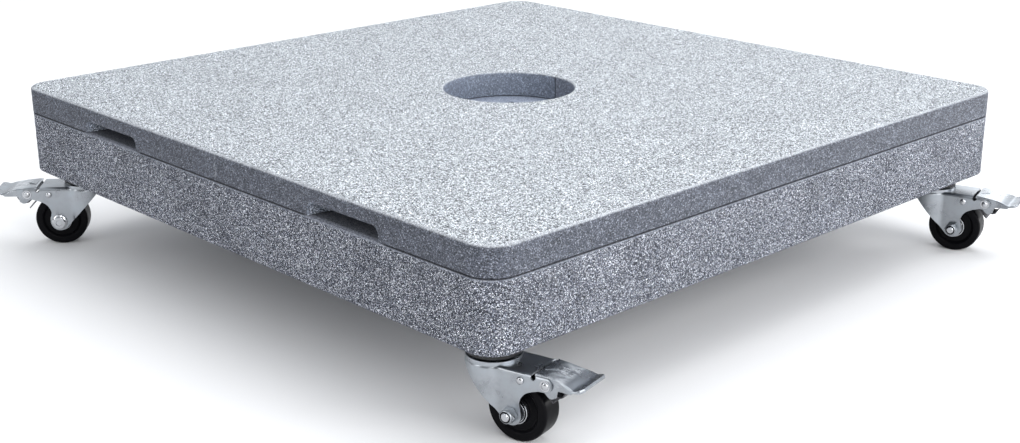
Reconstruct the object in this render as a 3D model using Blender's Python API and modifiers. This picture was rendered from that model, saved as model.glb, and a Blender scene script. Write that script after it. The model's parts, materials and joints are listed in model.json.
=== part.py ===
"""Parasol base: a stone slab under two lift-off cover plates, on four braked swivel casters.

The frame: +Z is up and the origin is the centre of the mast seat, on the slab's top face.
-Y is the front. The cover plates lie to the left (-X) and right (+X) of the seam.
All lengths below are in millimetres, and MM turns them into Blender's metres.
"""
import math

import bmesh
import bpy
from mathutils import Matrix

MM = 0.001
GAP = 0.3              # air between neighbouring pieces

# Stone
SIDE = 800.0           # side of the square base
SLAB_THICK = 70.0
COVER_TOP = 30.0       # top face of the cover plates
COVER_BED = 1.0        # thin joint under the cover plates
SEAM = 0.8             # joint between the two cover plates
CORNER_R = 28.0        # corners in plan
SLAB_FOOT_ROUND = 2.5
SLAB_TOP_ROUND = 1.5
COVER_ROUND = 3.0
MAST_HOLE_R = 76.0
MAST_HOLE_CHAMFER = 2.0
MAST_BOLT_R = 5.5      # four blind holes that the mast's foot is bolted to
MAST_BOLT_CIRCLE_R = 42.0
MAST_BOLT_DEPTH = 32.0
GRIP_X = 203.0         # finger grips in the underside of the cover plates
GRIP_WIDTH = 116.0
GRIP_DEPTH = 30.0
GRIP_TOP = 14.5
GRIP_CORNER_R = 8.0
GRIP_TAPER = 0.8       # width at the back of the grip, over its width at the mouth

# Casters: local x points from the swivel axis to the pedal, and z = 0 is the slab's underside
CASTER_XY = 354.6      # swivel axes, left and right, front and back
CASTERS = {            # name: (side in x, side in y, swivel angle at rest in degrees)
    "front_left": (-1, -1, 230.2),
    "front_right": (1, -1, 13.3),
    "back_left": (-1, 1, 142.0),
    "back_right": (1, 1, 16.7),
}
CASTER_HEIGHT = 90.0
STEM_R = 6.0
STEM_LENGTH = 45.0     # inside the slab
STEM_FLANGE_R = 13.0
CAP_R = 24.8           # upper race, fixed under the slab
BALL_CIRCLE_R = 17.0
BALL_R = 3.8
RACE_R = 25.5          # lower race, on the fork
CROWN_Z = -18.3        # top of the fork
SHEET = 1.8            # pressed sheet of fork and pedal
FORK_HALF = 21.0       # outside of the fork's cheeks
FORK_FRONT_R = 26.2    # round front, about the swivel axis
FRONT_SLOPE = 1.08     # fall of the fork's front edge for each unit it runs back
CROWN_END = 50.5       # where the fork's crown stops and its two arms run on
ARM_R = 6.3            # round end of an arm, about the pedal's pin
WHEEL_R = 30.3
WHEEL_STEPS = 28
TREAD_HALF = 11.8
HUB_R = 12.2
HUB_HALF = 13.4
AXLE_X = 30.4
LUG_R = 10.5           # fork's cheeks, round the axle
BOLT_R = 4.0
BOLT_END = -31.0
HEX_R = 7.5            # to the corners of bolt head and nut
HEX_THICK = 5.8
FLANGE_R = 8.9         # flange under the bolt's head
SLEEVE_R = 5.5
WASHER_R = 10.5
WASHER_THICK = 1.2
WASHER_Y = 14.7
PIN_X, PIN_Z, PIN_R = 65.2, -25.4, 3.0           # pedal's pivot
RIVET_X, RIVET_Z, RIVET_R = 40.3, -26.2, 2.5     # brake leaf's rivet
PEDAL_HALF = 18.9
LIP_HALF = 21.6        # pedal at its widest, before the lip
LEAF_HALF = 9.5
LEAF_THICK = 1.2
LEAF_EYE_R = 3.8       # of the strip's middle, round its rivet


# ---------------------------------------------------------------- scene and collections

for old in list(bpy.data.objects):
    bpy.data.objects.remove(old, do_unlink=True)

parts = bpy.data.collections.new("parasol_base")
cutters = bpy.data.collections.new("cutters")
for collection in (parts, cutters):
    bpy.context.scene.collection.children.link(collection)


def material(name, color, roughness, metallic=0.0):
    made = bpy.data.materials.new(name)
    made.use_nodes = True
    shader = made.node_tree.nodes["Principled BSDF"]
    shader.inputs["Base Color"].default_value = (*color, 1.0)
    shader.inputs["Roughness"].default_value = roughness
    shader.inputs["Metallic"].default_value = metallic
    return made


SLAB_STONE = material("slab_stone", (0.30, 0.31, 0.33), 0.85)
COVER_STONE = material("cover_stone", (0.52, 0.54, 0.57), 0.75)
ZINC = material("zinc_plate", (0.66, 0.68, 0.70), 0.32, 1.0)
STEEL = material("bright_steel", (0.60, 0.61, 0.62), 0.25, 1.0)
SPRING = material("spring_steel", (0.07, 0.07, 0.075), 0.40, 1.0)
TYRE = material("black_wheel", (0.02, 0.02, 0.022), 0.45)
BLACK = material("black_cap", (0.03, 0.03, 0.032), 0.45)


# ---------------------------------------------------------------- shapes

def place(name, mesh, surface, location=(0, 0, 0), rotation=(0, 0, 0), parent=None):
    """Put one piece in the collection of parts."""
    piece = bpy.data.objects.new(name, mesh)
    piece.location = [value * MM for value in location]
    piece.rotation_euler = rotation
    piece.parent = parent
    if not mesh.materials:
        mesh.materials.append(surface)
    parts.objects.link(piece)
    return piece


def arc(centre, radius, start, end, steps):
    """Points of an arc, from start to end in degrees."""
    turns = [math.radians(start + (end - start) * i / steps) for i in range(steps + 1)]
    return [(centre[0] + radius * math.cos(t), centre[1] + radius * math.sin(t)) for t in turns]


def flat_piece(name, outline, low, high, upright=False):
    """A closed mesh from a flat outline: (x, y) raised from z = low to high, or, when it is
    upright, (x, z) stretched from y = low to high."""
    curve = bpy.data.curves.new(name, "CURVE")
    curve.dimensions = "2D"
    curve.fill_mode = "BOTH"
    curve.extrude = (high - low) / 2 * MM
    spline = curve.splines.new("POLY")
    spline.points.add(len(outline) - 1)
    for point, (a, b) in zip(spline.points, outline):
        point.co = (a * MM, b * MM, 0, 1)
    spline.use_cyclic_u = True
    guide = bpy.data.objects.new(name, curve)
    cutters.objects.link(guide)
    evaluated = guide.evaluated_get(bpy.context.evaluated_depsgraph_get())
    mesh = bpy.data.meshes.new_from_object(evaluated)
    bpy.data.objects.remove(guide)
    middle = (low + high) / 2 * MM
    if upright:
        # the outline's second axis turns up, and its thickness runs along Y
        mesh.transform(Matrix.Translation((0, middle, 0)) @ Matrix.Rotation(math.pi / 2, 4, "X"))
    else:
        mesh.transform(Matrix.Translation((0, 0, middle)))
    shape = bmesh.new()
    shape.from_mesh(mesh)
    bmesh.ops.remove_doubles(shape, verts=shape.verts, dist=0.001 * MM)
    bmesh.ops.dissolve_limit(shape, angle_limit=0.001, verts=[], edges=shape.edges)
    bmesh.ops.recalc_face_normals(shape, faces=shape.faces)
    shape.to_mesh(mesh)
    shape.free()
    return mesh


def turned_piece(name, profile, steps, ring=False, along_y=False):
    """A profile of (radius, height) points turned about Z, or about Y, where height runs
    along +Y. A ring's profile closes on itself."""
    mesh = bpy.data.meshes.new(name)
    edges = [(i, i + 1) for i in range(len(profile) - 1)]
    if ring:
        edges.append((len(profile) - 1, 0))
    mesh.from_pydata([(r * MM, 0, h * MM) for r, h in profile], edges, [])
    guide = bpy.data.objects.new(name, mesh)
    cutters.objects.link(guide)
    screw = guide.modifiers.new("turn", "SCREW")
    screw.steps = steps
    screw.render_steps = steps
    screw.use_merge_vertices = True
    screw.merge_threshold = 0.00001
    screw.use_smooth_shade = True
    evaluated = guide.evaluated_get(bpy.context.evaluated_depsgraph_get())
    turned = bpy.data.meshes.new_from_object(evaluated)
    bpy.data.objects.remove(guide)
    if along_y:
        turned.transform(Matrix.Rotation(-math.pi / 2, 4, "X"))
    shape = bmesh.new()
    shape.from_mesh(turned)
    bmesh.ops.remove_doubles(shape, verts=shape.verts, dist=0.001 * MM)
    bmesh.ops.recalc_face_normals(shape, faces=shape.faces)
    shape.to_mesh(turned)
    shape.free()
    turned.set_sharp_from_angle(angle=math.radians(35))
    return turned


def rod(name, radius, low, high, steps=24, along_y=True, centre=(0, 0)):
    """A plain round bar along Y through (x, z) = centre, or along Z through (x, y)."""
    shape = bmesh.new()
    bmesh.ops.create_cone(shape, cap_ends=True, segments=steps, radius1=radius * MM,
                          radius2=radius * MM, depth=(high - low) * MM)
    middle = (low + high) / 2 * MM
    a, b = centre[0] * MM, centre[1] * MM
    if along_y:
        move = Matrix.Translation((a, middle, b)) @ Matrix.Rotation(math.pi / 2, 4, "X")
    else:
        move = Matrix.Translation((a, b, middle))
    bmesh.ops.transform(shape, matrix=move, verts=shape.verts)
    mesh = bpy.data.meshes.new(name)
    shape.to_mesh(mesh)
    shape.free()
    return mesh


def block(name, low, high):
    """A box from its lowest to its highest corner."""
    shape = bmesh.new()
    bmesh.ops.create_cube(shape, size=1.0)
    size = [(b - a) * MM for a, b in zip(low, high)]
    middle = [(a + b) / 2 * MM for a, b in zip(low, high)]
    move = Matrix.Translation(middle) @ Matrix.Diagonal((*size, 1.0))
    bmesh.ops.transform(shape, matrix=move, verts=shape.verts)
    mesh = bpy.data.meshes.new(name)
    shape.to_mesh(mesh)
    shape.free()
    return mesh


def combine(name, start, steps):
    """Cut, join or intersect a mesh with others, in order, and return the result."""
    body = bpy.data.objects.new(name, start)
    cutters.objects.link(body)
    tools = []
    for operation, mesh in steps:
        tool = bpy.data.objects.new(name + "_cut", mesh)
        tool.hide_render = True
        tool.display_type = "WIRE"
        cutters.objects.link(tool)
        tools.append(tool)
        boolean = body.modifiers.new(operation.lower(), "BOOLEAN")
        boolean.operation = operation
        boolean.solver = "EXACT"
        boolean.object = tool
    evaluated = body.evaluated_get(bpy.context.evaluated_depsgraph_get())
    result = bpy.data.meshes.new_from_object(evaluated)
    for used in [body] + tools:
        bpy.data.objects.remove(used)
    result.materials.clear()
    return result


def cut(mesh):
    return ("DIFFERENCE", mesh)


def join(mesh):
    return ("UNION", mesh)


def keep(mesh):
    return ("INTERSECT", mesh)


def round_edges(mesh, chosen, radius, segments):
    """Round the edges of a mesh that the function chosen picks."""
    shape = bmesh.new()
    shape.from_mesh(mesh)
    edges = [edge for edge in shape.edges if chosen(edge)]
    bmesh.ops.bevel(shape, geom=edges, offset=radius * MM, segments=segments, profile=0.5,
                    affect="EDGES")
    shape.to_mesh(mesh)
    shape.free()
    return mesh


def at_height(z):
    """Chooses the edges of the level face at height z."""
    return lambda edge: all(abs(vert.co.z - z * MM) < 0.01 * MM for vert in edge.verts)


# ---------------------------------------------------------------- stone

def rounded_outline(left, right, front, back, radii, steps=6):
    """A rectangle with its corners rounded: radii are those at right-back, left-back,
    left-front and right-front, and 0 leaves a corner sharp."""
    corners = [(right, back, 0), (left, back, 90), (left, front, 180), (right, front, 270)]
    points = []
    for (x, y, start), radius in zip(corners, radii):
        if radius == 0:
            points.append((x, y))
            continue
        centre = (x - math.copysign(radius, x - (left + right) / 2),
                  y - math.copysign(radius, y - (front + back) / 2))
        points += arc(centre, radius, start, start + 90, steps)
    return points


def make_slab():
    half = SIDE / 2
    outline = rounded_outline(-half, half, -half, half, [CORNER_R] * 4)
    slab = flat_piece("lower_slab", outline, -SLAB_THICK, 0)
    round_edges(slab, at_height(-SLAB_THICK), SLAB_FOOT_ROUND, 2)
    round_edges(slab, at_height(0), SLAB_TOP_ROUND, 1)
    holes = []
    for side_x, side_y, _ in CASTERS.values():
        centre = (side_x * CASTER_XY, side_y * CASTER_XY)
        top = -SLAB_THICK + STEM_LENGTH + GAP * 2
        holes.append(cut(rod("stem_hole", STEM_R + GAP * 2, -SLAB_THICK - 5, top, 14, False, centre)))
    for quarter in range(4):
        turn = math.radians(45 + 90 * quarter)
        centre = (MAST_BOLT_CIRCLE_R * math.cos(turn), MAST_BOLT_CIRCLE_R * math.sin(turn))
        holes.append(cut(rod("bolt_hole", MAST_BOLT_R, -MAST_BOLT_DEPTH, 5, 12, False, centre)))
    place("lower_slab", combine("lower_slab", slab, holes), SLAB_STONE)


def grip_cutter(side, front):
    """The hollow of one finger grip: round upper corners, narrower towards its back."""
    low_x, high_x = -GRIP_WIDTH / 2, GRIP_WIDTH / 2
    r = GRIP_CORNER_R
    outline = [(low_x, -5), (high_x, -5)]
    outline += arc((high_x - r, GRIP_TOP - r), r, 0, 90, 4)
    outline += arc((low_x + r, GRIP_TOP - r), r, 90, 180, 4)
    grip = flat_piece("grip", outline, 0, GRIP_DEPTH * 2, upright=True)
    for vert in grip.vertices:
        if vert.co.y > GRIP_DEPTH * MM:
            # this end lies inside the plate, as deep as the other stands out of it
            vert.co.x *= GRIP_TAPER
    turn = 0 if front else math.pi
    y = (-SIDE / 2 - GRIP_DEPTH) if front else (SIDE / 2 + GRIP_DEPTH)
    place_grip = Matrix.Translation((side * GRIP_X * MM, y * MM, 0)) @ Matrix.Rotation(turn, 4, "Z")
    grip.transform(place_grip)
    return grip


def make_cover(name, side):
    near, far = SEAM / 2, SIDE / 2
    left, right = (near, far) if side > 0 else (-far, -near)
    radii = [CORNER_R, 0, 0, CORNER_R] if side > 0 else [0, CORNER_R, CORNER_R, 0]
    outline = rounded_outline(left, right, -SIDE / 2, SIDE / 2, radii)
    cover = flat_piece(name, outline, COVER_BED, COVER_TOP)

    def outer_top_edge(edge):
        on_seam = all(abs(vert.co.x) < SEAM * MM for vert in edge.verts)
        return at_height(COVER_TOP)(edge) and not on_seam

    round_edges(cover, outer_top_edge, COVER_ROUND, 2)
    flare = MAST_HOLE_R + MAST_HOLE_CHAMFER + 1
    hole = turned_piece("mast_hole", [(0, 40), (flare, 40), (flare, COVER_TOP + 1),
                                      (MAST_HOLE_R, COVER_TOP - MAST_HOLE_CHAMFER),
                                      (MAST_HOLE_R, -5), (0, -5)], 64)
    steps = [cut(hole), cut(grip_cutter(side, True)), cut(grip_cutter(side, False))]
    place(name, combine(name, cover, steps), COVER_STONE)


# ---------------------------------------------------------------- caster pieces

AXLE_Z = WHEEL_R * math.cos(math.pi / WHEEL_STEPS) - CASTER_HEIGHT


def stem_mesh():
    """King stem: shank in the slab, flange against it, riveted head under the fork's crown."""
    head_top = CROWN_Z - SHEET - GAP
    profile = [(0, STEM_LENGTH), (STEM_R, STEM_LENGTH), (STEM_R, -GAP), (STEM_FLANGE_R, -GAP),
               (STEM_FLANGE_R, -3.3), (STEM_R, -3.3), (STEM_R, head_top), (9.5, head_top),
               (7.5, head_top - 3.4), (0, head_top - 3.4)]
    return turned_piece("stem", profile, 14)


def race_cap_mesh():
    """Upper race: a dished cap with its rim turned down over the balls."""
    bore_r, rim_r = STEM_R + GAP * 2, CAP_R - 1.6
    profile = [(bore_r, -3.8), (CAP_R - 3.8, -3.8), (CAP_R, -7.5), (CAP_R, -14.2), (rim_r, -14.2),
               (rim_r, -9.7), (bore_r, -9.7)]
    return turned_piece("race_cap", profile, 24, ring=True)


def ball_ring_mesh():
    """The bearing balls, as one ring that rests on the crown."""
    profile = arc((BALL_CIRCLE_R, CROWN_Z + GAP + BALL_R), BALL_R, 360, 60, 5)
    return turned_piece("ball_ring", profile, 16, ring=True)


def side_holes():
    """Holes through both cheeks for the axle bolt, the pedal's pin and the leaf's rivet."""
    return [cut(rod("axle_hole", BOLT_R + GAP * 1.5, -30, 30, 12, True, (AXLE_X, AXLE_Z))),
            cut(rod("pin_hole", PIN_R + GAP * 1.5, -30, 30, 10, True, (PIN_X, PIN_Z))),
            cut(rod("rivet_hole", RIVET_R + GAP * 1.5, -30, 30, 10, True, (RIVET_X, RIVET_Z)))]


def fork_side():
    """The fork seen from the side: slanted front, axle lug, arch over the wheel and arm."""
    slope = math.degrees(math.atan(FRONT_SLOPE))
    lug_left = 180 + (90 - slope)          # where the slanted front edge runs into the lug
    notch_end = CROWN_END + 5
    outline = [(-30, 0), (CROWN_END, 0), (CROWN_END, -21.5), (CROWN_END + 1.5, -23.3),
               (notch_end - 1.5, -23.3), (notch_end, -21.5), (notch_end, -19.6)]
    outline += arc((PIN_X, PIN_Z), ARM_R, 100, -90, 7)
    outline += [(59.0, -32.0), (CROWN_END, -34.6)]
    outline += arc((55.0, -50.5), 16.2, 106, 172, 4)
    outline += arc((AXLE_X, AXLE_Z), LUG_R, 12, lug_left - 360, 7)
    front_x = -30
    touch_x, touch_z = outline[-1]
    outline.append((front_x, touch_z + (touch_x - front_x) * FRONT_SLOPE))
    return outline


def fork_plan(front_r, half, far_x):
    """The fork seen from above: round front about the swivel axis, then straight cheeks."""
    start = math.degrees(math.asin(half / front_r))
    return arc((0, 0), front_r, start, 360 - start, 14) + [(far_x, -half), (far_x, half)]


def fork_mesh():
    inner_half = FORK_HALF - SHEET
    outer = flat_piece("fork", fork_plan(FORK_FRONT_R, FORK_HALF, 80), -80, CROWN_Z)
    round_edges(outer, at_height(CROWN_Z), 1.2, 1)
    side = flat_piece("fork_side", fork_side(), -30, 30, upright=True)
    inner = flat_piece("fork_inner", fork_plan(FORK_FRONT_R - SHEET, inner_half, 90), -90,
                       CROWN_Z - SHEET)
    between_arms = block("between_arms", (CROWN_END, -inner_half, -40), (90, inner_half, 0))
    race_inner_r = 22.6
    race = turned_piece("lower_race", [(race_inner_r, CROWN_Z + 2.5), (RACE_R, CROWN_Z + 2.5),
                                       (RACE_R, CROWN_Z - 1), (race_inner_r, CROWN_Z - 1)], 24, ring=True)
    bore = rod("king_bore", STEM_R + GAP * 2, -30, 0, 16, False)
    steps = [keep(side), cut(inner), cut(between_arms), join(race), cut(bore)]
    return combine("fork", outer, steps + side_holes())


def wheel_mesh():
    """One moulded wheel: hub boss, recessed web and chamfered tread."""
    bore_r = SLEEVE_R + GAP * 1.3
    one_side = [(bore_r, HUB_HALF), (HUB_R, HUB_HALF), (HUB_R + 0.8, 8.8), (20.0, 8.4),
                (22.0, TREAD_HALF), (28.7, TREAD_HALF), (WHEEL_R, 8.6)]
    profile = one_side + [(r, -w) for r, w in reversed(one_side)]
    wheel = turned_piece("wheel", profile, WHEEL_STEPS, ring=True, along_y=True)
    # half a step round, so that it rests on a flat and not on an edge
    wheel.transform(Matrix.Rotation(math.pi / WHEEL_STEPS + math.pi / 2, 4, "Y"))
    return wheel


def washer_mesh():
    inner, half = SLEEVE_R + GAP * 1.3, WASHER_THICK / 2
    return turned_piece("washer", [(inner, half), (WASHER_R, half), (WASHER_R, -half), (inner, -half)],
                        16, ring=True, along_y=True)


def sleeve_mesh():
    """The steel sleeve that the wheel turns on, clamped between the fork's cheeks."""
    half = FORK_HALF - SHEET - GAP
    inner = BOLT_R + GAP * 1.3
    return turned_piece("sleeve", [(inner, half), (SLEEVE_R, half), (SLEEVE_R, -half), (inner, -half)],
                        16, ring=True, along_y=True)


def axle_bolt_mesh():
    """Flange bolt: the shank, and a hexagon on a round flange."""
    seat = FORK_HALF + GAP
    shank = rod("axle_bolt", BOLT_R, BOLT_END, seat + 1, 16)
    flange = turned_piece("bolt_flange", [(0, seat + 2.0), (7.0, seat + 2.0), (FLANGE_R, seat + 1.0),
                                          (FLANGE_R, seat), (0, seat)], 20, along_y=True)
    head = rod("bolt_head", HEX_R, seat + 1, seat + HEX_THICK, 6)
    return combine("axle_bolt", shank, [join(flange), join(head)])


def axle_nut_mesh():
    """Lock nut: a hexagon with a round collar."""
    seat = -FORK_HALF - GAP
    hexagon = rod("axle_nut", HEX_R, seat - HEX_THICK, seat, 6)
    collar = turned_piece("collar", [(0, seat - 2), (6.4, seat - 2), (6.4, seat - 7.2),
                                     (5.6, seat - 8.6), (0, seat - 8.6)], 16, along_y=True)
    bore = rod("nut_bore", BOLT_R + GAP * 1.3, -40, 0, 16)
    return combine("axle_nut", hexagon, [join(collar), cut(bore)])


def cross_rivet_mesh(name, shank_r, head_r):
    """A pin across the fork with a domed head outside each cheek."""
    seat = FORK_HALF + GAP
    one_end = [(0, seat + 2.3), (head_r * 0.7, seat + 1.7),
               (head_r, seat), (shank_r, seat)]
    profile = one_end + [(r, -w) for r, w in reversed(one_end)]
    return turned_piece(name, profile, 12, along_y=True)


def pedal_mesh():
    """Pedal of pressed sheet, a channel that is open below, about its pin at the origin."""
    def about_pin(points):
        return [(x - PIN_X, z - PIN_Z) for x, z in points]

    top = [(53.8, -16.9), (69.0, -18.1), (80.0, -19.8), (92.5, -23.2), (100.6, -20.8)]
    below = [(102.4, -23.6), (99.6, -24.4), (92.6, -25.5), (90.5, -27.2), (77.0, -28.4),
             (75.4, -30.0), (74.4, -35.4), (69.6, -37.2), (65.0, -36.4), (61.0, -31.0),
             (56.6, -29.0), (55.8, -22.4), (53.8, -19.0)]
    inside = [(40, top[0][1] - SHEET - 0.2), (top[0][0], top[0][1] - SHEET - 0.2)]
    inside += [(x, z - SHEET - 0.1) for x, z in top[1:4]] + [(92.6, -60), (40, -60)]

    def plan(inset):
        half, wide = PEDAL_HALF - inset, LIP_HALF - inset
        edge = [(76.5, half), (91.0, wide), (97.0, wide), (102.0, wide - 5.5)]
        points = [(40, half)] + edge + [(x, -y) for x, y in reversed(edge)] + [(40, -half)]
        return [(x - PIN_X, y) for x, y in points]

    outer = flat_piece("brake_pedal", about_pin(top + below), -30, 30, upright=True)
    hollow = combine("hollow", flat_piece("hollow", about_pin(inside), -30, 30, upright=True),
                     [keep(flat_piece("hollow_plan", plan(SHEET), -60, 60))])
    pin_hole = rod("pin_hole", PIN_R + GAP * 1.5, -30, 30, 10)
    return combine("brake_pedal", outer,
                   [keep(flat_piece("pedal_plan", plan(0), -60, 60)), cut(hollow), cut(pin_hole)])


def leaf_mesh():
    """Brake leaf about its rivet at the origin: a strip folded round the rivet. Its lower leg
    ends over the tread, and its upper leg runs on under the pedal's cam and up behind it."""
    eye = arc((0, 0), LEAF_EYE_R, 270, 90, 8)
    lower = [(66.3, -45.8), (57.7, -36.8), (52.5, -31.6)]
    upper = [(51.0, -23.6), (62.6, -34.4), (66.6, -38.8), (75.4, -38.6), (79.4, -31.6)]
    path = [(x - RIVET_X, z - RIVET_Z) for x, z in lower] + eye
    path += [(x - RIVET_X, z - RIVET_Z) for x, z in upper]
    count = len(path)
    verts = [(x * MM, side * LEAF_HALF * MM, z * MM) for side in (-1, 1) for x, z in path]
    faces = [(i, i + 1, count + i + 1, count + i) for i in range(count - 1)]
    mesh = bpy.data.meshes.new("brake_leaf")
    mesh.from_pydata(verts, [], faces)
    guide = bpy.data.objects.new("brake_leaf", mesh)
    cutters.objects.link(guide)
    thick = guide.modifiers.new("thick", "SOLIDIFY")
    thick.thickness = LEAF_THICK * MM
    thick.offset = 0
    thick.use_even_offset = True
    evaluated = guide.evaluated_get(bpy.context.evaluated_depsgraph_get())
    result = bpy.data.meshes.new_from_object(evaluated)
    bpy.data.objects.remove(guide)
    return result


# ---------------------------------------------------------------- assembly

make_slab()
make_cover("cover_plate_left", -1)
make_cover("cover_plate_right", 1)

AXLE = (AXLE_X, 0, AXLE_Z)
CASTER_PIECES = [      # name, mesh, material, place in the caster's own frame
    ("stem", stem_mesh(), STEEL, (0, 0, 0)),
    ("race_cap", race_cap_mesh(), BLACK, (0, 0, 0)),
    ("ball_ring", ball_ring_mesh(), STEEL, (0, 0, 0)),
    ("fork", fork_mesh(), ZINC, (0, 0, 0)),
    ("wheel", wheel_mesh(), TYRE, AXLE),
    ("sleeve", sleeve_mesh(), STEEL, AXLE),
    ("axle_bolt", axle_bolt_mesh(), STEEL, AXLE),
    ("axle_nut", axle_nut_mesh(), ZINC, AXLE),
    ("washer_inner", washer_mesh(), STEEL, (AXLE_X, WASHER_Y, AXLE_Z)),
    ("washer_outer", washer_mesh(), STEEL, (AXLE_X, -WASHER_Y, AXLE_Z)),
    ("brake_pedal", pedal_mesh(), ZINC, (PIN_X, 0, PIN_Z)),
    ("pedal_pin", cross_rivet_mesh("pedal_pin", PIN_R, 3.8), STEEL, (PIN_X, 0, PIN_Z)),
    ("brake_leaf", leaf_mesh(), SPRING, (RIVET_X, 0, RIVET_Z)),
    ("leaf_rivet", cross_rivet_mesh("leaf_rivet", RIVET_R, 3.6), STEEL, (RIVET_X, 0, RIVET_Z)),
]

for corner, (side_x, side_y, swivel) in CASTERS.items():
    axis = bpy.data.objects.new("swivel_" + corner, None)
    axis.location = (side_x * CASTER_XY * MM, side_y * CASTER_XY * MM, -SLAB_THICK * MM)
    axis.rotation_euler.z = math.radians(swivel)
    parts.objects.link(axis)
    for piece, mesh, surface, location in CASTER_PIECES:
        place(piece + "_" + corner, mesh, surface, location, parent=axis)
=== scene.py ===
"""The looks of the parasol base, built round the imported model.

First the stone: the lower slab and the two cover plates, with their worked surfaces. Then the
casters: each piece is modelled once, in the caster's own frame, and placed by the frame's joints.
Shapes are in millimetres, and MM turns them into Blender's metres.
"""
import json
import math

import bmesh
import bpy
from mathutils import Matrix, Vector, noise


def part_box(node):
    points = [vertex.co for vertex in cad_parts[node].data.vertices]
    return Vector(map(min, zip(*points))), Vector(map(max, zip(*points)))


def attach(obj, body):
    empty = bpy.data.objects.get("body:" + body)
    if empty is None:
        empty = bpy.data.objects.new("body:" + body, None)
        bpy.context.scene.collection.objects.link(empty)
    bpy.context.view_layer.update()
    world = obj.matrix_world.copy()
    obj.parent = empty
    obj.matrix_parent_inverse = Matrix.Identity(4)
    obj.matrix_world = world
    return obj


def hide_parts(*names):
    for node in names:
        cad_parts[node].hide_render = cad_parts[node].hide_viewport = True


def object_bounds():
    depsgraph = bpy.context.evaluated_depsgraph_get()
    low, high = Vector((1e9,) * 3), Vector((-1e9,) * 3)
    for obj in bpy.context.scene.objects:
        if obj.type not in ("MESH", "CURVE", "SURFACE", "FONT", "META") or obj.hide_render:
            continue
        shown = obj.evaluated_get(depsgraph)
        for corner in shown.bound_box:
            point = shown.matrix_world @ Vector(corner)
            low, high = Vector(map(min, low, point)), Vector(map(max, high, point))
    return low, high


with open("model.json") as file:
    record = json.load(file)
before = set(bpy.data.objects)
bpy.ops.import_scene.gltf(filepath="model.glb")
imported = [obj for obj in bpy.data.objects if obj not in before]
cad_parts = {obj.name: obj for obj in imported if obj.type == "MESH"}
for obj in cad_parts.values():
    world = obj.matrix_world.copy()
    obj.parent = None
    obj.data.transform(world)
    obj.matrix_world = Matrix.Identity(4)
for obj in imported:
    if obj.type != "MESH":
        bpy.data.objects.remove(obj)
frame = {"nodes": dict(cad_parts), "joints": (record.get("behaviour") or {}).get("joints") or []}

CAD_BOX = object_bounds()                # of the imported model, before any piece is shown
MM = 0.001
JOINTS = {joint["name"]: joint for joint in frame["joints"]}
CORNERS = ("front_left", "front_right", "back_left", "back_right")


def box_mm(node):
    """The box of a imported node, in millimetres."""
    low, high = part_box(node)
    return low / MM, high / MM


# ---------------------------------------------------------------- driving dimensions

SLAB_LOW, SLAB_HIGH = box_mm("lower_slab")
COVER_LOW, COVER_HIGH = box_mm("cover_plate_right")
HALF = SLAB_HIGH.x                   # half the side of the square
CORNER_R = 28.0
SEAM = 0.3                           # the two plates all but touch
HOLE_R = 76.0
GRIP_X, GRIP_WIDTH, GRIP_DEPTH, GRIP_TOP = 203.0, 116.0, 30.0, 14.5

# caster, in its own frame: x runs from the swivel axis to the pedal, z = 0 is the slab's underside
CROWN_Z = -18.3
SHEET = 1.8
FORK_HALF = 21.0                     # half the fork's width over its cheeks
FORK_FRONT_R = 26.2
ARMS_X = 50.5                        # the crown ends here, and the cheeks go on as two arms
RACE_R = 25.5
STEM_R, STEM_TOP = 6.0, 45.0
STEM_BORE_R = STEM_R + 0.6
WHEEL_R = 30.1
BOLT_R = 4.0
PIN_HOLE_R, RIVET_HOLE_R = 3.45, 2.95
HUB_R = 5.9                          # bore of the hub and of its washers
WASHER_Y = 14.7                      # middle of each washer


def caster_frame(corner):
    """The matrix of a caster's own frame, from its swivel and its axle."""
    centre = Vector(JOINTS["swivel_" + corner]["pos_m"])
    across = Vector(JOINTS["roll_" + corner]["axis"]).normalized()
    up = Vector((0, 0, 1))
    axes = Matrix((across.cross(up), across, up)).transposed().to_4x4()
    return Matrix.Translation(centre) @ axes


def in_caster(joint):
    """Where a joint of the front right caster is, in that caster's frame, in millimetres."""
    place = caster_frame("front_right").inverted() @ Vector(JOINTS[joint + "_front_right"]["pos_m"])
    return place.x / MM, place.z / MM


AXLE_X, AXLE_Z = in_caster("roll")
PIN_X, PIN_Z = in_caster("pedal")
RIVET_X, RIVET_Z = in_caster("leaf")


# ---------------------------------------------------------------- material nodes

def new_material(name):
    made = bpy.data.materials.new(name)
    made.use_nodes = True
    return made, made.node_tree, made.node_tree.nodes["Principled BSDF"]


def add(tree, kind, inputs=None, **settings):
    """Add one node. An input is a number, a colour, or another node's output."""
    made = tree.nodes.new("ShaderNode" + kind)
    for key, value in settings.items():
        setattr(made, key, value)
    for key, value in (inputs or {}).items():
        if isinstance(value, bpy.types.NodeSocket):
            tree.links.new(value, made.inputs[key])
        else:
            made.inputs[key].default_value = value
    return made


def grey(level):
    return (level, level, level)


def ramp(tree, value, stops):
    """Turn a value into a colour by (position, colour) stops."""
    made = add(tree, "ValToRGB", {"Fac": value})
    elements = made.color_ramp.elements
    while len(elements) < len(stops):
        elements.new(0.5)
    for element, (position, color) in zip(elements, stops):
        element.position = position
        element.color = (*color, 1.0)
    return made.outputs["Color"]


def step(tree, value, low, high):
    """0 below low, 1 above high, and smooth between them."""
    made = add(tree, "MapRange", {"Value": value, "From Min": low, "From Max": high},
               interpolation_type="SMOOTHSTEP")
    return made.outputs["Result"]


def blend(tree, factor, first, second, how="MIX"):
    """From the first colour, at factor 0, to the second, at factor 1."""
    made = add(tree, "Mix", data_type="RGBA", blend_type=how)
    for index, value in ((0, factor), (6, first), (7, second)):
        if isinstance(value, bpy.types.NodeSocket):
            tree.links.new(value, made.inputs[index])
        else:
            made.inputs[index].default_value = value if index == 0 else (*value, 1.0)
    return made.outputs[2]


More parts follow.
